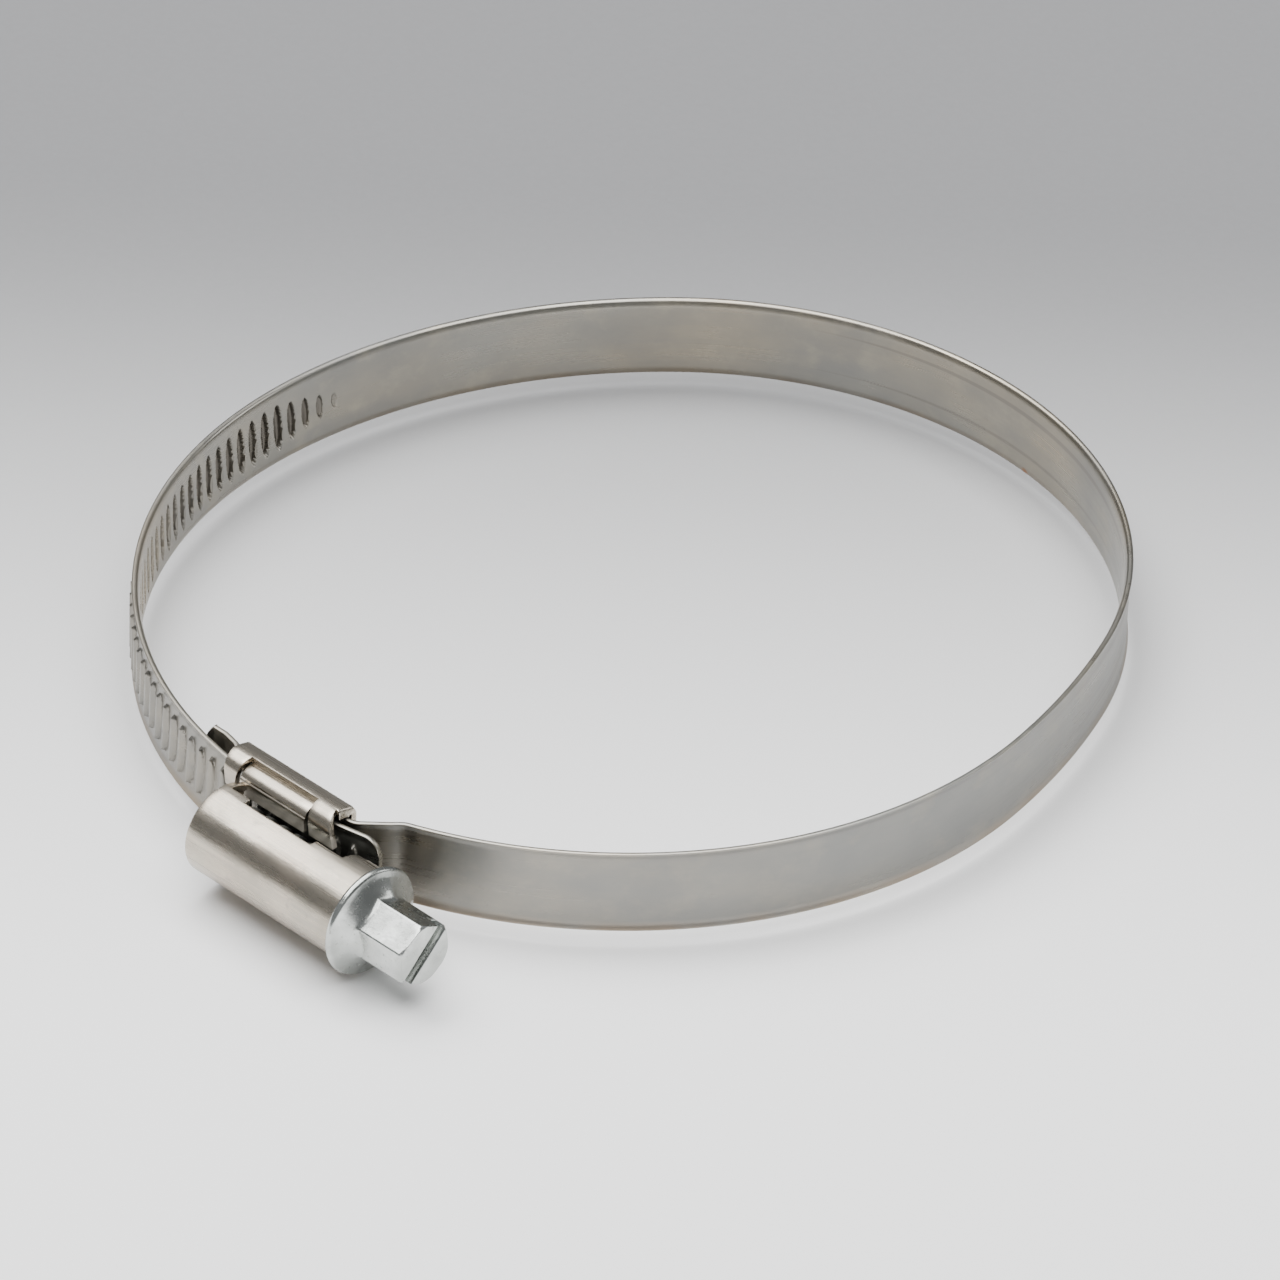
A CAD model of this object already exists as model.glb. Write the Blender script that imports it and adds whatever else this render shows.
"""Worm-drive hose clamp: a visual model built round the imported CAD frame.

Every shape is worked out in millimetres in the part's own frame (ring round Z, origin at the centre
of the round seat, housing towards -Y, screw along X) and turned into metres when its mesh is made.
"""
import math

import bpy
import numpy as np
from mathutils import Matrix, Vector


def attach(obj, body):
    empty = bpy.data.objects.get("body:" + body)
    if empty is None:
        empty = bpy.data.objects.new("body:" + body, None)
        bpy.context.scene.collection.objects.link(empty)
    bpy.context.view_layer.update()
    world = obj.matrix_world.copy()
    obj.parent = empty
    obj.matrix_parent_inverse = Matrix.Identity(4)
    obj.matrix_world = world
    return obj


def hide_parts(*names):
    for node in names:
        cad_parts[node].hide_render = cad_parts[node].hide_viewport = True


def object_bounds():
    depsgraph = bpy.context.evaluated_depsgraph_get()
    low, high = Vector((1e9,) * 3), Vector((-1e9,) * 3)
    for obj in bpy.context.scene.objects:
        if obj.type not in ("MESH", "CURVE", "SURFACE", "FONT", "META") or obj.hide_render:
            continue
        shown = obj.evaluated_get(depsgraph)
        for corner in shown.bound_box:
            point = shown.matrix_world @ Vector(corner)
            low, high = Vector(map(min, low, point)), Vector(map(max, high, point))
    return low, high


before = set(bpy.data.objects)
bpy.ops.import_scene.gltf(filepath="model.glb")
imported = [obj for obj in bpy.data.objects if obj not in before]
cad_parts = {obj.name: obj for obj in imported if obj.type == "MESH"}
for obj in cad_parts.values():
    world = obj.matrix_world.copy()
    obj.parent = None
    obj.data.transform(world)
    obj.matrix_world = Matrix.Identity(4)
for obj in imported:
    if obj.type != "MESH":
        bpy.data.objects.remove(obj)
cad_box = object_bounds()
MM = 0.001

# ---------------------------------------------------------------- sizes, in millimetres and degrees
# the band, and the ring's outline as five tangent arcs of inner radius and angle, tail first
BAND_W = 12.0
BAND_T = 0.8
ARCS = [(66.0, 90.0), (76.0, 43.0), (57.0, 114.0), (110.0, 13.0), (63.5, 79.0)]
ORIGIN_ARC = 2
# the last arc's end, LEAD_ROOT degrees of it, belongs to the fixed end
LEAD_ARC = 4
LEAD_ROOT = 3.6
# the tail lies on the first arc, whose zero is the middle of the housing
TAIL_FROM = 60.0
TAIL_TO = -14.7
PATH_R = ARCS[0][0]
CORNER_R = 2.2

# the pressed teeth: full size up to FULL_TEETH_TO along the band from the middle of the housing,
# then smaller up to LAST_TOOTH, and none within END_TOOTH of the free end
PITCH = 2.6
LEAD_AT_R = 4.05
SLANT = math.atan(PITCH / (2 * math.pi * LEAD_AT_R))
TOOTH_H = 0.55
TOOTH_HALF_L = 3.75
TOOTH_HALF_W = 0.9
HOLLOW_HALF_L = 3.65
HOLLOW_HALF_W = 0.86
HOLLOW_D = 0.9
FULL_TEETH_TO = 101.5
LAST_TOOTH = 112.5
END_TOOTH = 2.8
TOOTH_STEP = 0.13
PLAIN_STEP = 1.0
NORMAL_STEP = 0.01

# the band's long edges are turned out and rounded, and FACE_POINTS lie across each face
FLARE = 0.38
FLARE_W = 1.25
EDGE_R = 0.3
FACE_POINTS = 49

# the screw's axis in the housing's own frame, whose origin is PLACE
AXIS_Y = -5.5


# ---------------------------------------------------------------- the ring's outline
def heading(i):
    """Direction of the outline in degrees where arc i starts."""
    return 180.0 - sum(arc[1] for arc in ARCS[:i])


def side(h):
    """Unit vector to the right of heading h, towards the ring's inside."""
    return np.array([np.sin(np.radians(h)), -np.cos(np.radians(h))])


def centre(i):
    """Centre of arc i; the round seat's centre is the part's origin."""
    if i == ORIGIN_ARC:
        return np.zeros(2)
    if i < ORIGIN_ARC:
        return centre(i + 1) - (ARCS[i + 1][0] - ARCS[i][0]) * side(heading(i + 1))
    return centre(i - 1) + (ARCS[i][0] - ARCS[i - 1][0]) * side(heading(i))


def on_arc(i, t):
    """Inner-face point and outward direction at t degrees into arc i; t may be an array."""
    out = -side(heading(i) - np.asarray(t, float)).T
    return centre(i) + ARCS[i][0] * out, out


PLACE = centre(0) - np.array([0.0, PATH_R])


def shares(arc, start, end, n):
    """Arc angles start to end cut into n equal stretches, the last one first."""
    step = (end - start) / n
    return [(arc, end - step * (k + 1), end - step * k) for k in range(n)]


LEAD_FREE = ARCS[LEAD_ARC][1] - LEAD_ROOT
# the ring's stretches band_01 to band_15, from the fixed end round to the tail
PIECES = (shares(4, 0, LEAD_FREE, 4) + shares(3, 0, ARCS[3][1], 1) + shares(2, 0, ARCS[2][1], 5)
          + shares(1, 0, ARCS[1][1], 3) + shares(0, TAIL_FROM, ARCS[0][1], 2))


# ---------------------------------------------------------------- materials
# places in metres, in the part's frame
RUST_SPECK = (0.008, 0.0565, -0.0056)
THREAD_END_X = 0.0218
SCUFFED_Y = (-0.0816, -0.0813)
SCUFFED_Z = (0.0054, 0.0048)
LOWER_RIM_Z = (-0.0046, -0.0061)


class Net:
    """Short calls for building a material's node tree in object coordinates, in metres."""

    def __init__(self, name):
        self.mat = bpy.data.materials.new(name)
        self.mat.use_nodes = True
        self.nodes = self.mat.node_tree.nodes
        self.links = self.mat.node_tree.links
        self.bsdf = self.nodes["Principled BSDF"]
        self.place = self.nodes.new("ShaderNodeTexCoord").outputs["Object"]

    def node(self, kind, values, **settings):
        n = self.nodes.new("ShaderNode" + kind)
        for key, value in settings.items():
            setattr(n, key, value)
        for key, value in values.items():
            if isinstance(value, bpy.types.NodeSocket):
                self.links.new(value, n.inputs[key])
            else:
                n.inputs[key].default_value = value
        return n

    def noise(self, stretch, detail, rough=0.5, offset=(0, 0, 0)):
        """Noise from 0 to 1 with the given number of features a metre along X, Y and Z."""
        mapped = self.node("Mapping", {"Vector": self.place, "Scale": stretch, "Location": offset})
        n = self.node("TexNoise", {"Vector": mapped.outputs[0], "Scale": 1.0, "Detail": detail,
                                   "Roughness": rough})
        return n.outputs["Fac"]

    def remap(self, value, low, high, to_low=0.0, to_high=1.0):
        """Straight ramp from to_low at low to to_high at high, held beyond them."""
        n = self.node("MapRange", {"Value": value, "From Min": low, "From Max": high,
                                   "To Min": to_low, "To Max": to_high}, clamp=True)
        return n.outputs["Result"]

    def math(self, op, a, b=0.0):
        return self.node("Math", {0: a, 1: b}, operation=op).outputs[0]

    def mix(self, share, a, b):
        """Colour a, or b where share is 1. Colours are sockets or triples."""
        n = self.nodes.new("ShaderNodeMix")
        n.data_type = "RGBA"
        for socket, value in ((n.inputs[0], share), (n.inputs[6], a), (n.inputs[7], b)):
            if isinstance(value, bpy.types.NodeSocket):
                self.links.new(value, socket)
            else:
                socket.default_value = value if isinstance(value, float) else (*value, 1)
        return n.outputs[2]

    def axis(self, name):
        return self.node("SeparateXYZ", {"Vector": self.place}).outputs[name]

    def attribute(self, name):
        return self.node("Attribute", {}, attribute_name=name).outputs["Fac"]

    def bump(self, height, distance, under=None):
        """Normal of a relief distance metres deep, over the normal under it."""
        values = {"Height": height, "Distance": distance, "Strength": 1.0}
        if under is not None:
            values["Normal"] = under
        return self.node("Bump", values).outputs["Normal"]

    def finish(self, colour, rough, normal, metallic=1.0):
        self.links.new(colour, self.bsdf.inputs["Base Color"])
        self.links.new(rough, self.bsdf.inputs["Roughness"])
        self.links.new(normal, self.bsdf.inputs["Normal"])
        self.bsdf.inputs["Metallic"].default_value = metallic
        return self.mat


def band_steel():
    """Cold-rolled stainless strip: long rolling lines, oil and heat stains, a browner lower rim."""
    net = Net("band_steel")
    stain = net.remap(net.noise((45, 45, 80), 5, 0.6), 0.36, 0.66)
    tint = net.remap(net.noise((28, 28, 60), 3, 0.5, (3.1, 1.7, 0.4)), 0.38, 0.62)
    blot = net.remap(net.noise((150, 150, 190), 4, 0.62, (0.3, 5.2, 2.2)), 0.52, 0.72)
    lines = net.noise((9, 9, 2600), 3, 0.65)
    few = net.remap(net.noise((5, 5, 640), 1, 0.4, (7.7, 2.2, 0.9)), 0.655, 0.70)
    colour = net.mix(tint, (0.35, 0.337, 0.298), (0.42, 0.367, 0.28))
    colour = net.mix(net.math("MULTIPLY", stain, 0.6), colour, (0.235, 0.24, 0.238))
    colour = net.mix(net.math("MULTIPLY", blot, 0.45), colour, (0.50, 0.452, 0.355))
    colour = net.mix(net.remap(lines, 0.35, 0.65, 0.0, 0.22), colour, (0.33, 0.32, 0.30))
    colour = net.mix(net.math("MULTIPLY", few, 0.55), colour, (0.22, 0.205, 0.185))
    # the outer face is the strip's duller side
    dull = net.math("MULTIPLY", net.attribute("outer_face"), 0.5)
    colour = net.mix(dull, colour, (0.15, 0.152, 0.15))
    rim = net.remap(net.axis("Z"), *LOWER_RIM_Z)
    rim = net.math("MULTIPLY", rim, net.remap(net.noise((120, 120, 120), 3), 0.35, 0.6, 0.2, 0.75))
    colour = net.mix(rim, colour, (0.27, 0.20, 0.13))
    dent = net.math("MULTIPLY", net.attribute("dent"), 0.85)
    colour = net.mix(dent, colour, (0.12, 0.108, 0.092))
    # one speck of rust on the lower edge of the ring's far side
    away = net.node("VectorMath", {0: net.place, 1: RUST_SPECK}, operation="DISTANCE")
    rust = net.remap(away.outputs["Value"], 0.0009, 0.0003, 0.0, 0.85)
    colour = net.mix(rust, colour, (0.36, 0.13, 0.03))
    fine = net.noise((260, 260, 5200), 2, 0.6)
    along = net.remap(lines, 0.3, 0.7, -0.04, 0.07)
    rough = net.math("ADD", net.remap(stain, 0, 1, 0.25, 0.36), along)
    rough = net.math("ADD", rough, net.math("MULTIPLY", blot, 0.06))
    normal = net.bump(lines, 0.000010)
    normal = net.bump(fine, 0.000004, normal)
    normal = net.bump(net.noise((95, 95, 60), 2, 0.4), 0.00016, normal)
    return net.finish(colour, rough, normal)


def housing_steel():
    """Formed stainless sheet: warm satin, fine lines along the screw, small handling marks."""
    net = Net("housing_steel")
    tint = net.remap(net.noise((70, 160, 160), 4, 0.6), 0.36, 0.64)
    lines = net.noise((60, 2400, 2400), 3, 0.6)
    spots = net.remap(net.noise((620, 900, 900), 3, 0.6, (1.3, 0.4, 4.1)), 0.60, 0.74)
    heat = net.remap(net.noise((110, 60, 60), 3, 0.55, (4.2, 0.7, 1.9)), 0.5, 0.66)
    colour = net.mix(tint, (0.55, 0.495, 0.41), (0.40, 0.36, 0.295))
    colour = net.mix(net.math("MULTIPLY", heat, 0.5), colour, (0.60, 0.50, 0.40))
    colour = net.mix(net.remap(lines, 0.35, 0.65, 0.0, 0.35), colour, (0.32, 0.30, 0.27))
    colour = net.mix(net.math("MULTIPLY", spots, 0.5), colour, (0.28, 0.26, 0.23))
    along = net.remap(lines, 0.3, 0.7, -0.04, 0.07)
    rough = net.math("ADD", net.remap(tint, 0, 1, 0.22, 0.31), along)
    # the tips of the tabs and wings and the saddle's middle, next to the band, are scuffed dull
    low = net.remap(net.math("ABSOLUTE", net.axis("Z")), *SCUFFED_Z)
    near = net.math("MULTIPLY", low, net.remap(net.axis("Y"), *SCUFFED_Y))
    rough = net.math("ADD", rough, net.math("MULTIPLY", near, 0.28))
    colour = net.mix(net.math("MULTIPLY", near, 0.35), colour, (0.62, 0.59, 0.54))
    normal = net.bump(lines, 0.000012)
    normal = net.bump(net.noise((240, 420, 420), 3, 0.5), 0.00006, normal)
    return net.finish(colour, rough, normal)


def screw_zinc():
    """Bright zinc plate: cool, nearly white, with soft mottling, specks and small dents."""
    net = Net("screw_zinc")
    mottle = net.remap(net.noise((330, 330, 330), 4, 0.6), 0.36, 0.64)
    specks = net.remap(net.noise((1500, 1500, 1500), 2, 0.6, (2.3, 1.1, 0.5)), 0.60, 0.72)
    turned = net.noise((3600, 220, 220), 2, 0.6)
    cloud = net.remap(net.noise((95, 95, 95), 3, 0.55, (1.9, 3.3, 0.2)), 0.42, 0.62)
    colour = net.mix(mottle, (0.64, 0.66, 0.64), (0.49, 0.505, 0.485))
    colour = net.mix(net.math("MULTIPLY", cloud, 0.6), colour, (0.27, 0.282, 0.265))
    colour = net.mix(net.math("MULTIPLY", specks, 0.4), colour, (0.33, 0.33, 0.31))
    # the thread inside the barrel is oiled and dull
    hidden = net.remap(net.axis("X"), THREAD_END_X + 0.0006, THREAD_END_X - 0.0004)
    colour = net.mix(net.math("MULTIPLY", hidden, 0.9), colour, (0.15, 0.155, 0.15))
    rough = net.remap(mottle, 0, 1, 0.17, 0.27)
    rough = net.math("ADD", rough, net.math("MULTIPLY", specks, 0.12))
    rough = net.math("ADD", rough, net.math("MULTIPLY", hidden, 0.2))
    normal = net.bump(turned, 0.000008)
    normal = net.bump(net.noise((420, 420, 420), 3, 0.5), 0.00005, normal)
    return net.finish(colour, rough, normal)


BAND_STEEL = band_steel()
HOUSING_STEEL = housing_steel()
SCREW_ZINC = screw_zinc()


# ---------------------------------------------------------------- meshes
def add_mesh(name, verts_mm, faces, mat, body, replaces=(), normals=None, marks=None):
    """A mesh object from points in millimetres, riding on a body and standing for CAD nodes.

    normals gives one per face corner, and marks a number per point for the material to read.
    """
    mesh = bpy.data.meshes.new(name)
    mesh.from_pydata([tuple(v) for v in np.asarray(verts_mm) * MM], [], faces)
    mesh.validate()
    mesh.polygons.foreach_set("use_smooth", [True] * len(mesh.polygons))
    if normals is not None:
        mesh.normals_split_custom_set(normals)
    mesh.materials.append(mat)
    obj = bpy.data.objects.new(name, mesh)
    bpy.context.scene.collection.objects.link(obj)
    for label, values in (marks or {}).items():
        mesh.attributes.new(label, "FLOAT", "POINT").data.foreach_set("value", values.ravel())
    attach(obj, body)
    if replaces:
        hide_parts(*replaces)
    return obj


def sharp_edges(mesh, degrees):
    """Edges whose two faces meet at more than this angle."""
    limit = math.cos(math.radians(degrees))
    faces_of = {}
    for p in mesh.polygons:
        for key in p.edge_keys:
            faces_of.setdefault(key, []).append(p.normal)
    out = []
    for e in mesh.edges:
        pair = faces_of.get(tuple(sorted(e.vertices)), [])
        if len(pair) == 2 and pair[0].dot(pair[1]) < limit:
            out.append(e.index)
    return out


def section():
    """The band's closed section: offset from its middle, z, and 1 outside, -1 inside, 0 on an edge."""
    z_edge = BAND_W / 2 - EDGE_R
    z = np.linspace(-z_edge, z_edge, FACE_POINTS)
    half = BAND_T / 2
    leaving = half - EDGE_R + EDGE_R * np.cos(np.radians([30, 60]))
    coming = leaving[::-1]
    # outer face upwards, rounded top edge, inner face downwards, rounded bottom edge
    off = np.concatenate([np.full(z.size, half), leaving, [0.0], -coming,
                          np.full(z.size, -half), -leaving, [0.0], coming])
    top = z_edge + EDGE_R * np.sin(np.radians([30, 60, 90, 60, 30]))
    zz = np.concatenate([z, top, z[::-1], -top])
    kind = np.concatenate([np.ones(z.size), np.zeros(top.size), -np.ones(z.size), np.zeros(top.size)])
    return off, zz, kind


OFF, ZZ, KIND = section()


def flare(z):
    """How far the band's centre line stands out at height z, where its long edges are turned out."""
    q = np.clip((np.abs(z) - (BAND_W / 2 - FLARE_W)) / FLARE_W, 0, 1)
    return FLARE * q * q * (1.5 - 0.5 * q)


def along_band(i, t):
    """Length along the outer face from the housing's middle to t degrees into arc 0 or 1."""
    start = math.radians(ARCS[0][1]) * (PATH_R + BAND_T) if i == 1 else 0.0
    return start + np.radians(t) * (ARCS[i][0] + BAND_T)


def tooth_relief(s, z, half_w, half_l, sharp):
    """0 to 1 relief of the pressed teeth at length s along the band and height z.

    The teeth lean like the screw's thread. Past FULL_TEETH_TO they get shorter, narrower and lower.
    """
    s = s + z * math.tan(SLANT)
    k = np.round(s / PITCH)
    a = (s - k * PITCH) * math.cos(SLANT)
    fade = np.clip((LAST_TOOTH - k * PITCH) / (LAST_TOOTH - FULL_TEETH_TO), 0, 1)
    fade = np.where((k * PITCH < along_band(0, TAIL_TO) + END_TOOTH) | (fade <= 0.02), 0, fade)
    b = np.clip(np.abs(z) / (half_l * (0.25 + 0.75 * fade)), 0, 1)
    w = half_w * (0.6 + 0.4 * fade) * np.sqrt(1 - b ** 2.2) + 1e-6
    q = np.clip(np.abs(a) / w, 0, 1)
    return fade ** 0.6 * (1 - q ** sharp)


def hollow_share(s, z):
    """0 to 1 depth of the hollows behind the teeth, on the band's inner face."""
    return tooth_relief(s, z, HOLLOW_HALF_W, HOLLOW_HALF_L, 5.0)


def hollow_dent(i, t):
    """How deep in a hollow each point of the band's section is at t degrees into arc i."""
    s, z = np.meshgrid(along_band(i, t), ZZ, indexing="ij")
    return np.where(KIND[None, :] < 0, np.clip(hollow_share(s, z) * 1.6, 0, 1), 0)


def band_points(i, t, toothed):
    """Points of the band's section at t degrees into arc i: array of shape (len(t), section, 3)."""
    inner, out = on_arc(i, t)
    tt, z = np.meshgrid(t, ZZ, indexing="ij")
    u = BAND_T / 2 + OFF[None, :] + flare(z)
    if toothed:
        s = along_band(i, tt)
        bulge = TOOTH_H * tooth_relief(s, z, TOOTH_HALF_W, TOOTH_HALF_L, 2.6)
        dent = HOLLOW_D * hollow_share(s, z)
        u = u + np.where(KIND[None, :] > 0, bulge, 0) + np.where(KIND[None, :] < 0, dent, 0)
    if toothed and i == 0:
        # rounded corners of the free end
        near = np.clip((tt - TAIL_TO) * math.radians(PATH_R) / CORNER_R, 0, 1)
        z = z * (1 - CORNER_R / (BAND_W / 2) * (1 - np.sqrt(1 - (1 - near) ** 2)))
    xy = inner[:, None, :] + u[..., None] * out[:, None, :]
    return np.concatenate([xy, z[..., None]], -1)


def surface_normals(fn, t, eps):
    """Unit normals of the surface fn(t)[k, j], from differences along t and round the section."""
    dt = fn(t + eps) - fn(t - eps)
    p = fn(t)
    dj = np.roll(p, -1, 1) - np.roll(p, 1, 1)
    n = np.cross(dt, dj)
    n /= np.linalg.norm(n, axis=2, keepdims=True) + 1e-12
    return n


def side_faces(p, n):
    """Quads between a tube's sections p, turned outwards, and the normals n at their corners."""
    rows, cols = p.shape[:2]
    flip = np.dot(np.cross(p[0, 1] - p[0, 0], p[1, 1] - p[0, 1]), n[0, 0]) < 0
    faces, loops = [], []
    for k in range(rows - 1):
        for j in range(cols):
            j2 = (j + 1) % cols
            quad = [(k, j), (k, j2), (k + 1, j2), (k + 1, j)]
            if flip:
                quad = quad[::-1]
            faces.append([r * cols + c for r, c in quad])
            loops += [tuple(n[q]) for q in quad]
    return faces, loops


def end_face(p, row, ahead):
    """The face closing a tube at a row, turned away from the row ahead, and its corners' normals."""
    cols = p.shape[1]
    loop = [row * cols + c for c in range(cols)]
    area = np.sum(np.cross(p[row], np.roll(p[row], -1, 0)), 0)
    if np.dot(area, p[row].mean(0) - p[ahead].mean(0)) < 0:
        loop = loop[::-1]
        area = -area
    return loop, [tuple(area / np.linalg.norm(area))] * cols


def add_strip(name, fn, t, eps, body, node, dent=None):
    """A closed tube of band steel through the sections fn(t), with exact normals on its side."""
    p = fn(t)
    n = surface_normals(fn, t, eps)
    middle = p[len(t) // 2]
    if np.sum(n[len(t) // 2] * (middle - middle.mean(0))) < 0:
        n = -n
    faces, loops = side_faces(p, n)
    last = len(p) - 1
    for row, ahead in ((0, 1), (last, last - 1)):
        face, normals = end_face(p, row, ahead)
        faces.append(face)
        loops += normals
    marks = {"outer_face": np.tile(np.clip(KIND, 0, 1), len(p))}
    if dent is not None:
        marks["dent"] = dent
    add_mesh(name, p.reshape(-1, 3), faces, BAND_STEEL, body, [node], loops, marks)


def stations(t1, t2, step_mm, radius):
    """Angles from t1 to t2 at most step_mm apart along a circle."""
    n = max(2, int(math.ceil(math.radians(t2 - t1) * radius / step_mm)) + 1)
    return np.linspace(t1, t2, n)


def add_ring():
    """The stretches band_01 to band_15, then the tail with its rounded free end."""
    for k, (i, t1, t2) in enumerate(PIECES):
        toothed = i < 2 and along_band(i, t1) < LAST_TOOTH
        name = "band_%02d" % (k + 1)
        t = stations(t1, t2, TOOTH_STEP if toothed else PLAIN_STEP, ARCS[i][0])
        add_strip("ring_" + name, lambda v, i=i, toothed=toothed: band_points(i, v, toothed), t,
                  NORMAL_STEP, name + "_body", name, hollow_dent(i, t) if toothed else None)
    tail = stations(TAIL_TO, TAIL_FROM, TOOTH_STEP, PATH_R)
    turn = np.radians(np.arange(0, 90, 9))
    start = TAIL_TO + np.degrees((1 - np.cos(turn)) * CORNER_R / PATH_R)
    tail = np.concatenate([start, tail[tail > start[-1] + 0.1]])
    add_strip("ring_band_tail", lambda v: band_points(0, np.maximum(v, TAIL_TO), True), tail,
              NORMAL_STEP, "band_tail_body", "band_tail", hollow_dent(0, tail))


# ---------------------------------------------------------------- the fixed end
def rounded_path(points, radii, step):
    """Points of a polyline in the plane with its corners rounded, evenly spaced."""
    pts = [np.array(p, float) for p in points]
    out = [pts[0]]
    for a, b, c, r in zip(pts, pts[1:], pts[2:], radii):
        u, v = (a - b) / np.linalg.norm(a - b), (c - b) / np.linalg.norm(c - b)
        half = math.acos(np.clip(np.dot(u, v), -1, 1)) / 2
        cut = min(r / math.tan(half), 0.48 * np.linalg.norm(a - b), 0.48 * np.linalg.norm(c - b))
        for q in np.linspace(0, 1, 9):
            out.append((1 - q) ** 2 * (b + u * cut) + 2 * q * (1 - q) * b + q * q * (b + v * cut))
    out.append(pts[-1])
    out = np.array(out)
    gaps = np.linalg.norm(np.diff(out, axis=0), axis=1)
    along = np.concatenate([[0], np.cumsum(gaps)])
    keep = np.concatenate([[True], gaps > 1e-6])
    out, along = out[keep], along[keep]
    s = np.linspace(0, along[-1], int(along[-1] / step) + 2)
    return np.stack([np.interp(s, along, out[:, 0]), np.interp(s, along, out[:, 1])], 1)


# the outer face of the strip under the saddle, and the tongue's rise above it towards its tip
STRIP_Y = 1.7
TONGUE_RISE = (1.1, 1.5, 1.5, 0.95)
TONGUE_TIP_HALF_W = 3.2


def fixed_end_path():
    """The strip's inner face: tongue, flat under the saddle, joggle, start of the ring."""
    flat = STRIP_Y + BAND_T
    root = on_arc(LEAD_ARC, ARCS[LEAD_ARC][1])[0] - PLACE
    lead = [on_arc(LEAD_ARC, LEAD_FREE + q)[0] - PLACE for q in (1.8, 0.0)]
    tongue = [(x, flat + rise) for x, rise in zip((-16.9, -15.6, -13.2, -10.6), TONGUE_RISE)]
    line = tongue + [(-9.0, flat), (11.5, flat), (14.6, flat + 3.1), root] + lead
    return rounded_path(line, [0.9, 3, 3, 2, 1.6, 2.6, 8, 20], 0.35) + PLACE


def fixed_end_points(path, v):
    """Points of the section at each step v along the path: array of shape (len(v), section, 3)."""
    steps = np.arange(len(path), dtype=float)
    v = np.clip(v, 0, len(path) - 1)
    x, y = (np.interp(v, steps, path[:, k]) for k in (0, 1))
    dx, dy = (np.interp(v + 0.5, steps, path[:, k]) - np.interp(v - 0.5, steps, path[:, k])
              for k in (0, 1))
    # the path runs towards +X below the ring, so outwards is to its right
    n = np.stack([dy, -dx], 1) / np.hypot(dx, dy)[:, None]
    n[v > len(path) - 1.6] = on_arc(LEAD_ARC, LEAD_FREE)[1]
    vv, z = np.meshgrid(v, ZZ, indexing="ij")
    from_tip = np.clip(vv * np.linalg.norm(path[1] - path[0]), 0, None)
    # the tongue's end is narrower and rounded, and its edges aren't turned out there
    width = np.clip(TONGUE_TIP_HALF_W + 1.5 * np.sqrt(from_tip * 2.2), 0, BAND_W / 2)
    u = BAND_T / 2 + OFF[None, :] + flare(z) * (width >= BAND_W / 2)
    xy = np.stack([x, y], 1)[:, None, :] + u[..., None] * n[:, None, :]
    return np.concatenate([xy, (z * width / (BAND_W / 2))[..., None]], -1)


def add_fixed_end():
    path = fixed_end_path()
    add_strip("fixed_end_strip", lambda v: fixed_end_points(path, v), np.arange(len(path), dtype=float),
              0.4, "clamp_body", "band_fixed_end")


add_ring()
add_fixed_end()


# ---------------------------------------------------------------- folded sheet parts
def shell_faces(present, wrap):
    """Faces of a shell over two matching grids, closed round the cells that aren't present."""
    rows, last = present.shape[0] + 1, present.shape[1]
    cols = last if wrap else last + 1
    half = rows * cols
    faces = []

    def here(r, c):
        if wrap:
            c %= cols
        return 0 <= r < rows - 1 and 0 <= c < last and present[r, c]

    sides = (((-1, 0), (0, 1)), ((0, 1), (1, 2)), ((1, 0), (2, 3)), ((0, -1), (3, 0)))
    for r in range(rows - 1):
        for c in range(last):
            if not present[r, c]:
                continue
            c2 = (c + 1) % cols
            corner = [r * cols + c, r * cols + c2, (r + 1) * cols + c2, (r + 1) * cols + c]
            faces.append(corner)
            faces.append([v + half for v in corner[::-1]])
            for (dr, dc), (a, b) in sides:
                if not here(r + dr, c + dc):
                    p, q = corner[a], corner[b]
                    faces.append([q, p, p + half, q + half])
    return faces


def shell(name, outer, inner, present, bevel, node=None, wrap=False):
    """A closed piece of housing steel between two grids of points, its edges broken by bevel."""
    verts = np.concatenate([outer.reshape(-1, 3), inner.reshape(-1, 3)])
    faces = shell_faces(present, wrap)
    used = sorted({v for f in faces for v in f})
    index = {v: k for k, v in enumerate(used)}
    faces = [[index[v] for v in f] for f in faces]
    a, b, c = (verts[used[v]] for v in faces[0][:3])
    first = used[faces[0][0]]
    outwards = outer.reshape(-1, 3)[first] - inner.reshape(-1, 3)[first]
    if np.dot(np.cross(b - a, c - b), outwards) < 0:
        faces = [f[::-1] for f in faces]
    obj = add_mesh(name, verts[used], faces, HOUSING_STEEL, "clamp_body",
                   [node] if node else ())
    soften(obj, bevel)


def soften(obj, width):
    """Rounded edges wherever faces meet at an angle, and flat faces kept flat by weighted normals."""
    mod = obj.modifiers.new("edges", "BEVEL")
    mod.width = width * MM
    mod.segments = 3
    mod.limit_method = "ANGLE"
    mod.angle_limit = math.radians(38)
    mod.use_clamp_overlap = True
    obj.modifiers.new("normals", "WEIGHTED_NORMAL")


def swept(path, out, xs, t):
    """Outer and inner grids of a sheet of thickness t along X: path is its middle line in (y, z)."""
    grids = []
    for sign in (0.5, -0.5):
        yz = path + out * t * sign
        g = np.zeros((len(xs), len(path), 3))
        g[..., 0] = np.asarray(xs)[:, None]
        g[..., 1:] = yz[None]
        grids.append(g)
    return grids


def to_part(grid):
    """From the housing's own frame to the part's frame."""
    return grid + np.array([PLACE[0], PLACE[1], 0.0])


def arc_path(cy, cz, r, start, end, n):
    """Arc in (y, z); angles from +z towards +y, in degrees. Returns points and outward directions."""
    a = np.radians(np.linspace(start, end, n))
    out = np.stack([np.sin(a), np.cos(a)], 1)
    return np.array([cy, cz]) + r * out, out


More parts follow.
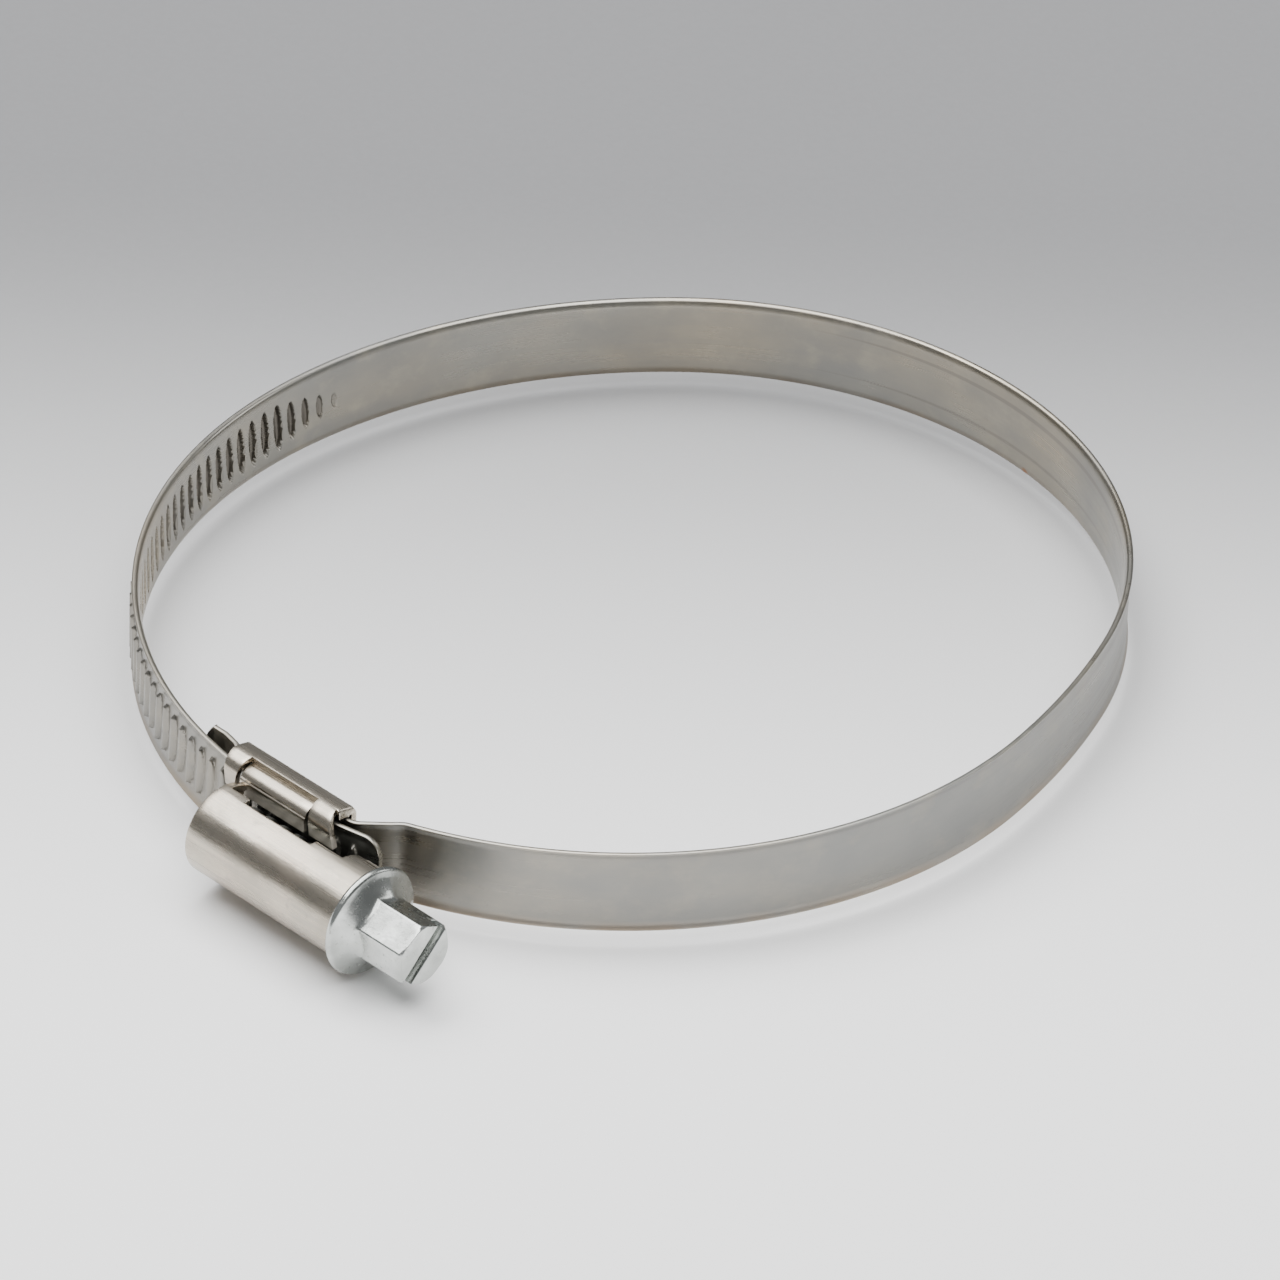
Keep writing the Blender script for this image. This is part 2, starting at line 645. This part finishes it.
BARREL_R, BARREL_T = 6.3, 1.0
BARREL_X = (-4.8, 21.6)
END_WALL = 1.0
PILOT_HOLE = 3.08
# the barrel's opening towards the band: half its width in degrees, up to each x
OPENING = ((BARREL_X[0] + END_WALL, 53.0), (-0.2, 82.0), (11.8, 92.0), (16.5, 82.0), (17.5, 53.0),
           (99.0, 0.0))
WING_X = (-5.0, 6.8)
WING_T = 0.55
WING_R = 1.95
WING_CENTRE = (-0.15, 5.0)
WING_FOOT_Z = 3.5
WING_TO_Y = 1.1
WING_CREASE = 0.10
WING_CREASE_AT = -67


def opening_at(x):
    return next(half for to, half in OPENING if x < to)


def wing_path():
    """Middle line in (y, z) of the wing: up its face, round over the top, and in under the saddle."""
    r = WING_R - WING_T / 2
    cy, cz = WING_CENTRE
    z = np.linspace(WING_FOOT_Z, cz, 6)[:-1]
    face = np.stack([np.full(z.size, cy - r), z], 1)
    bend, bend_out = arc_path(cy, cz, r, -90, 0, 46)
    crease = np.exp(-((np.linspace(-90, 0, 46) - WING_CREASE_AT) / 3.5) ** 2)
    bend = bend - bend_out * (WING_CREASE * crease)[:, None]
    top = np.stack([np.linspace(cy, WING_TO_Y, 4)[1:], np.full(3, cz + r)], 1)
    path = np.concatenate([face, bend, top])
    out = np.concatenate([np.tile([-1.0, 0.0], (len(face), 1)), bend_out, np.tile([0.0, 1.0], (3, 1))])
    return path, out


def all_present(xs, path):
    return np.ones((len(xs) - 1, len(path) - 1), bool)


def add_barrel(half):
    """The tube round the screw. half lists the angles from the opening's middle to the far side."""
    a = np.concatenate([half, 360 - half[-2:0:-1]])
    out = np.stack([np.cos(np.radians(a)), np.sin(np.radians(a))], 1)
    mid = np.array([AXIS_Y, 0.0]) + (BARREL_R - BARREL_T / 2) * out
    xs = np.unique([BARREL_X[0], 3.0, 6.0, 9.0, 14.0, BARREL_X[1]] + [to for to, _ in OPENING[:-1]])
    outer, inner = swept(mid, out, xs, BARREL_T)
    cell = (a + np.append(a[1:], 360.0)) / 2
    from_top = np.minimum(cell, 360 - cell)
    present = np.array([from_top > opening_at(x) for x in (xs[:-1] + xs[1:]) / 2])
    shell("housing_barrel", to_part(outer), to_part(inner), present, 0.2, "housing", wrap=True)


def add_end_wall(half):
    """A disc round the screw's pilot, cut off below the band."""
    ring = np.array([PILOT_HOLE, PILOT_HOLE + 0.8, 4.6, 5.31])
    a = np.radians(half[half >= OPENING[0][1]])
    a = np.concatenate([a, 2 * np.pi - a[-2::-1]])
    grids = []
    for x in (BARREL_X[0] + 0.02, BARREL_X[0] + END_WALL):
        g = np.zeros((len(ring), len(a), 3))
        g[..., 0] = x
        g[..., 1] = AXIS_Y + ring[:, None] * np.cos(a)
        g[..., 2] = ring[:, None] * np.sin(a)
        grids.append(to_part(g))
    shell("housing_end_wall", grids[0], grids[1], all_present(ring, a), 0.1)


def add_wings():
    """The housing's rolled edges, seen in the saddle's windows above and below the band."""
    for s, label in ((1, "top"), (-1, "under")):
        path, out = wing_path()
        xs = np.linspace(*WING_X, 7)
        outer, inner = swept(path * (1, s), out * (1, s), xs, WING_T)
        shell("housing_wing_" + label, to_part(outer), to_part(inner), all_present(xs, path), 0.12)


def add_housing():
    half = np.concatenate([np.linspace(0, 53, 9), np.linspace(53, 82, 7)[1:], [87.0, 92.0],
                           np.linspace(92, 180, 27)[1:]])
    add_barrel(half)
    add_end_wall(half)
    add_wings()


# the saddle: a plate inside the ring, walls past the band's edges, hooked tabs at both ends
PLATE_Y, SHEET_T = 3.35, 0.85
SADDLE_X = (-8.4, 10.2)
SADDLE_Z = 7.8
BEND_R = 1.3
TAB_L = 3.2
WINDOW_Y = 0.3
WALL_FALL = 0.3
LIP = 0.55
HOOK_Y, HOOK_Z, HOOK_R = -2.2, 3.8, 2.4
# how far the near and far edge of each tab move along X on the way to its tip
TAB_TAPER = ((0.9, -0.6), (0.9, 2.0))


def tab_shift(x, share):
    """Shift along X of a point of a tab, share of the way from the window's edge to the tab's tip."""
    left = x <= SADDLE_X[0] + TAB_L + 0.01
    start = SADDLE_X[0] if left else SADDLE_X[1] - TAB_L
    near, far = TAB_TAPER[0 if left else 1]
    q = (x - start) / TAB_L
    return share * (near * (1 - q) + far * q)


def saddle_path():
    """Middle line in (y, z) of half the saddle, from a tab's tip to the plate's middle.

    Also returns the outward directions, and a share that falls from 1 at the tip to 0 at the wall.
    """
    z = SADDLE_Z - SHEET_T / 2
    y = PLATE_Y - SHEET_T / 2
    r = BEND_R - SHEET_T / 2
    hook_r = HOOK_R - SHEET_T / 2
    tip_z = np.linspace(HOOK_Z, SADDLE_Z - HOOK_R, 5)[:-1]
    tip = np.stack([np.full(4, HOOK_Y + SHEET_T / 2), tip_z], 1)
    hook, _ = arc_path(HOOK_Y + HOOK_R, SADDLE_Z - HOOK_R, hook_r, -90, 0, 15)
    wall_y = np.linspace(WINDOW_Y, y - r, 7)
    wall = np.stack([wall_y, z - WALL_FALL * ((wall_y - WINDOW_Y) / (y - r - WINDOW_Y)) ** 2], 1)
    bend, _ = arc_path(y - r, z - WALL_FALL - r, r, 8, 90, 11)
    plate = np.stack([np.full(6, y), np.linspace(z - WALL_FALL - r, 0, 7)[1:]], 1)
    path = np.concatenate([tip, hook, wall, bend[1:], plate])
    along = np.gradient(path, axis=0)
    along[-1] = (0, -1)
    out = np.stack([-along[:, 1], along[:, 0]], 1) / np.linalg.norm(along, axis=1)[:, None]
    n = len(tip) + len(hook)
    share = np.concatenate([np.linspace(1, 0, n), np.zeros(len(path) - n)])
    return path, out, share


def in_tab(x):
    return x < SADDLE_X[0] + TAB_L + 0.01 or x > SADDLE_X[1] - TAB_L - 0.01


def add_saddle():
    path, out, share = saddle_path()
    path = np.concatenate([path, path[-2::-1] * (1, -1)])
    out = np.concatenate([out, out[-2::-1] * (1, -1)])
    share = np.concatenate([share, share[-2::-1]])
    xs = np.concatenate([np.linspace(SADDLE_X[0], SADDLE_X[0] + TAB_L, 5),
                         np.linspace(SADDLE_X[0] + TAB_L, SADDLE_X[1] - TAB_L, 9)[1:-1],
                         np.linspace(SADDLE_X[1] - TAB_L, SADDLE_X[1], 5)])
    # at the end towards the screw's head the walls are turned in a little round the band's edges
    turn = np.radians([30, 60, 90])
    xs = np.concatenate([xs, SADDLE_X[1] + LIP * np.sin(turn)])
    fall = (LIP * (1 - np.cos(turn)))[:, None, None] * (np.abs(out[:, 1:]) * out)[None]
    grids = swept(path, out, xs, SHEET_T)
    for grid in grids:
        grid[-turn.size:, :, 1:] -= fall
        for k, x in enumerate(xs):
            if in_tab(x):
                grid[k, :, 0] += tab_shift(x, share)
    mid_y = (path[:-1, 0] + path[1:, 0]) / 2
    mid_x = (xs[:-1] + xs[1:]) / 2
    no_tab = ((mid_x > SADDLE_X[0] + TAB_L) & (mid_x < SADDLE_X[1] - TAB_L)) | (mid_x > SADDLE_X[1])
    present = ~(no_tab[:, None] & (mid_y < WINDOW_Y)[None, :])
    shell("saddle_plate", to_part(grids[0]), to_part(grids[1]), present, 0.2, "saddle")


# ---------------------------------------------------------------- the screw
CORE_R, THREAD_R = 3.6, 4.45
THREAD_X = (-2.2, 15.2)
CREST, ROOT_LAND = 0.8, 1.5
PILOT_R, RIVET_R = 3.0, 3.7
NECK_R, NECK_X = 5.22, 17.6
FLANGE_R, FLANGE_X, RIM_R = 7.5, 21.9, 0.55
DISH_L, DISH_END_R, DISH_FILLET = 4.0, 3.2, 0.35
HEX_HALF, HEX_TURN, HEX_ROUND = 4.0, 36.0, 0.4
HEAD_X, END_FACE_R = 32.4, 4.12
SLOT_W, SLOT_D, SLOT_TURN = 1.55, 1.6, 45.0


def hex_radius(theta):
    """Radius of a hexagon with rounded corners; corners lie at HEX_TURN + 60 k degrees."""
    psi = np.abs((theta - HEX_TURN + 30) % 60 - 30)
    d = (HEX_HALF - HEX_ROUND) / math.cos(math.radians(30))
    flat = HEX_HALF / np.cos(np.radians(30 - psi))
    inside = np.clip(HEX_ROUND ** 2 - (d * np.sin(np.radians(psi))) ** 2, 0, None)
    corner = d * np.cos(np.radians(psi)) + np.sqrt(inside)
    tangent = 30 - math.degrees(math.atan((HEX_HALF - HEX_ROUND) * math.tan(math.radians(30)) / HEX_HALF))
    return np.where(psi < tangent, corner, flat)


def thread_radius(x, theta):
    """Core radius plus the worm's ridge; its crest crosses +y at -1.3 mm and every pitch from there."""
    d = (x - theta / 360 * PITCH) % PITCH - PITCH / 2
    ridge = np.clip((ROOT_LAND / 2 - np.abs(d)) / ((ROOT_LAND - CREST) / 2), 0, 1)
    ridge = ridge * ridge * (3 - 2 * ridge)
    ends = np.clip((x - THREAD_X[0]) / 0.8, 0, 1) * np.clip((THREAD_X[1] - x) / 0.8, 0, 1)
    return CORE_R + (THREAD_R - CORE_R) * ridge * ends


def screw_profile():
    """Stations along the screw: (x, kind, radius). Kind is plain, thread or hex."""
    tip = BARREL_X[0] - 0.6
    # riveted tip, pilot in the end wall's hole, thread
    rows = [(tip, "plain", 3.2), (tip + 0.05, "plain", 3.5), (tip + 0.2, "plain", RIVET_R),
            (tip + 0.4, "plain", RIVET_R), (tip + 0.5, "plain", PILOT_R),
            (tip + 1.65, "plain", PILOT_R), (tip + 1.7, "plain", CORE_R)]
    rows += [(x, "thread", 0) for x in np.arange(tip + 2.0, THREAD_X[1] + 0.4, 0.15)]
    # neck in the barrel's mouth
    rows += [(NECK_X, "plain", CORE_R), (NECK_X + 0.1, "plain", NECK_R - 0.2),
             (NECK_X + 0.3, "plain", NECK_R), (FLANGE_X - 0.02, "plain", NECK_R),
             (FLANGE_X, "plain", NECK_R + 0.05)]
    # collar with a round rim, dished down to the hexagon
    rows += [(FLANGE_X, "plain", FLANGE_R - RIM_R)]
    for a in np.radians(np.arange(15, 166, 15)):
        rows.append((FLANGE_X + RIM_R * (1 - math.cos(a)), "plain",
                     FLANGE_R - RIM_R + RIM_R * math.sin(a)))
    x0, r0 = FLANGE_X + 2 * RIM_R, FLANGE_R - RIM_R
    for q in np.linspace(0, 1, 27)[1:]:
        rows.append((x0 + DISH_L * q, "hex", DISH_END_R + (r0 - DISH_END_R) * (1 - q) ** 2.1))
    # hexagon with a bevelled end
    rows += [(x, "hex", 0) for x in (28.0, 29.0, 30.2, 31.2)]
    rows += [(x, "hex", 0) for x in np.linspace(HEAD_X - 0.8, HEAD_X, 9)]
    return rows


def screw_ring(x, kind, r, theta):
    """Radius at each angle theta for one station of the profile."""
    if kind == "plain":
        return np.full(theta.size, r)
    if kind == "thread":
        return thread_radius(x, theta)
    h = hex_radius(theta)
    # the collar's dish runs into the hexagon with a small fillet
    k = DISH_FILLET
    blend = np.clip(0.5 + (h - r) / (2 * k), 0, 1)
    body = h * blend + r * (1 - blend) + k * blend * (1 - blend)
    return np.minimum(body, END_FACE_R + max(0.0, HEAD_X - x))


def add_screw():
    # angles are closest together at the hexagon's rounded corners
    near = np.array([0, 0.8, 1.6, 2.3, 3.0, 3.4, 6, 12, 20])
    psi = np.concatenate([-near[:0:-1], near, [30]])
    theta = np.concatenate([HEX_TURN + 60 * k + psi for k in range(6)])
    rows = screw_profile()
    rings = np.zeros((len(rows), theta.size, 3))
    for k, (x, kind, r) in enumerate(rows):
        radius = screw_ring(x, kind, r, theta)
        rings[k, :, 0] = x
        rings[k, :, 1] = AXIS_Y + radius * np.cos(np.radians(theta))
        rings[k, :, 2] = radius * np.sin(np.radians(theta))
    rings = to_part(rings)
    n = theta.size
    faces = [[k * n + j, (k + 1) * n + j, (k + 1) * n + (j + 1) % n, k * n + (j + 1) % n]
             for k in range(len(rows) - 1) for j in range(n)]
    faces.append(list(range(n)))
    faces.append([(len(rows) - 1) * n + j for j in reversed(range(n))])
    if np.dot(np.cross(rings[0, 1] - rings[0, 0], rings[0, 2] - rings[0, 1]), (-1, 0, 0)) < 0:
        faces = [f[::-1] for f in faces]
    obj = add_mesh("screw_worm", rings.reshape(-1, 3), faces, SCREW_ZINC, "screw_body",
                   ["screw"])
    cut_slot(obj)
    obj.modifiers.new("normals", "WEIGHTED_NORMAL")


def cut_slot(obj):
    """The screwdriver slot across the head, with its long edges broken."""
    w, lip, long = SLOT_W / 2, 0.16, 6.0
    outline = [(HEAD_X - SLOT_D, -w), (HEAD_X - SLOT_D, w), (HEAD_X - lip, w),
               (HEAD_X + 0.2, w + lip + 0.2), (HEAD_X + 0.2, -w - lip - 0.2), (HEAD_X - lip, -w)]
    a = math.radians(SLOT_TURN)
    across, along = np.array([-math.sin(a), math.cos(a)]), np.array([math.cos(a), math.sin(a)])
    verts = []
    for end in (-long, long):
        for x, v in outline:
            y, z = across * v + along * end
            verts.append((x + PLACE[0], AXIS_Y + y + PLACE[1], z))
    n = len(outline)
    faces = [[k, (k + 1) % n, (k + 1) % n + n, k + n] for k in range(n)]
    faces += [list(reversed(range(n))), list(range(n, 2 * n))]
    mesh = bpy.data.meshes.new("slot_cutter")
    mesh.from_pydata([tuple(np.array(v) * MM) for v in verts], [], faces)
    cutter = bpy.data.objects.new("slot_cutter", mesh)
    bpy.context.scene.collection.objects.link(cutter)
    mod = obj.modifiers.new("slot", "BOOLEAN")
    mod.object = cutter
    mod.operation = "DIFFERENCE"
    mod.solver = "EXACT"
    bpy.context.view_layer.update()
    done = bpy.data.meshes.new_from_object(obj.evaluated_get(bpy.context.evaluated_depsgraph_get()))
    obj.modifiers.remove(mod)
    obj.data = done
    bpy.data.objects.remove(cutter)
    bpy.data.meshes.remove(mesh)
    mark_sharp(done, 32)


def mark_sharp(mesh, degrees):
    """Smooth shading everywhere but across edges sharper than this angle."""
    mesh.polygons.foreach_set("use_smooth", [True] * len(mesh.polygons))
    for e in sharp_edges(mesh, degrees):
        mesh.edges[e].use_edge_sharp = True


add_housing()
add_saddle()
add_screw()


# ---------------------------------------------------------------- camera, light and floor
CAM_AZ, CAM_EL, CAM_ROLL = 43.5, 34.7, 2.256
CAM_DIST = 1267.9
CAM_TARGET = (-0.60, -9.84, 0.0)
LENS = 271.0
SENSOR_W = 36.0
# the target's place off the picture's centre, in millimetres on the sensor
AIM_OFFSET = (-0.111656, -1.103344)
LIGHTS = (("softbox_left", (-0.55, -0.03, 0.95), (0, -0.03, 0), (1.2, 0.65), 12),
          ("softbox_over", (0.10, -0.05, 1.25), (0, -0.03, 0), (1.5, 1.5), 35),
          ("softbox_rim", (0.55, 0.85, 0.45), (0, 0, 0), (0.25, 0.5), 1.5))
WORLD_COLOUR, WORLD_STRENGTH = (0.86, 0.88, 0.9, 1), 0.3
FLOOR_GAP = 0.0004
FLOOR_HALF = 6.0
FLOOR_NEAR, FLOOR_FAR = (0.95, 0.95, 0.95), (0.19, 0.191, 0.196)
FLOOR_RAMP = (-0.10, 0.11)


def add_camera():
    """A long lens at the photograph's angle, turned so that the target sits off centre as there."""
    az, el, roll = (math.radians(v) for v in (CAM_AZ, CAM_EL, CAM_ROLL))
    back = Vector((math.sin(az) * math.cos(el), -math.cos(az) * math.cos(el), math.sin(el)))
    level = Vector((math.cos(az), math.sin(az), 0))
    above = back.cross(level)
    right = level * math.cos(roll) + above * math.sin(roll)
    up = above * math.cos(roll) - level * math.sin(roll)
    ahead = (-back * LENS - right * AIM_OFFSET[0] + up * AIM_OFFSET[1]).normalized()
    right = ahead.cross(up).normalized()
    turn = Matrix((right, right.cross(ahead), -ahead)).transposed()
    location = (Vector(CAM_TARGET) + back * CAM_DIST) * MM
    data = bpy.data.cameras.new("camera")
    data.lens = LENS
    data.sensor_width = SENSOR_W
    data.clip_start = 0.05
    data.clip_end = 20.0
    cam = bpy.data.objects.new("camera", data)
    cam.matrix_world = Matrix.Translation(location) @ turn.to_4x4()
    bpy.context.scene.collection.objects.link(cam)
    bpy.context.scene.camera = cam


def add_light(name, place, aim, size, power):
    """A rectangular softbox turned towards aim; places are in metres, power in watts."""
    data = bpy.data.lights.new(name, "AREA")
    data.shape = "RECTANGLE"
    data.size, data.size_y = size
    data.energy = power
    obj = bpy.data.objects.new(name, data)
    obj.location = place
    obj.rotation_euler = (Vector(aim) - Vector(place)).to_track_quat("-Z", "Y").to_euler()
    bpy.context.scene.collection.objects.link(obj)


def add_floor():
    """A plain paper floor, palest towards the camera and greyer behind the object."""
    z = cad_box[0][2] - FLOOR_GAP
    s = FLOOR_HALF
    mesh = bpy.data.meshes.new("floor")
    mesh.from_pydata([(-s, -s, z), (s, -s, z), (s, s, z), (-s, s, z)], [], [(0, 1, 2, 3)])
    obj = bpy.data.objects.new("floor", mesh)
    bpy.context.scene.collection.objects.link(obj)
    net = Net("floor_paper")
    az = math.radians(CAM_AZ)
    away = net.node("VectorMath", {0: net.place, 1: (-math.sin(az), math.cos(az), 0)},
                    operation="DOT_PRODUCT").outputs["Value"]
    ramp = net.node("MapRange", {"Value": away, "From Min": FLOOR_RAMP[0], "From Max": FLOOR_RAMP[1]},
                    interpolation_type="SMOOTHSTEP")
    colour = net.mix(ramp.outputs["Result"], FLOOR_NEAR, FLOOR_FAR)
    grain = net.noise((900, 900, 900), 2)
    rough = net.remap(grain, 0.3, 0.7, 0.85, 0.95)
    obj.data.materials.append(net.finish(colour, rough, net.bump(grain, 0.00001), 0.0))


def add_world():
    world = bpy.data.worlds.new("world")
    bpy.context.scene.world = world
    world.use_nodes = True
    background = world.node_tree.nodes["Background"]
    background.inputs["Color"].default_value = WORLD_COLOUR
    background.inputs["Strength"].default_value = WORLD_STRENGTH


add_camera()
add_world()
add_floor()
for light in LIGHTS:
    add_light(*light)
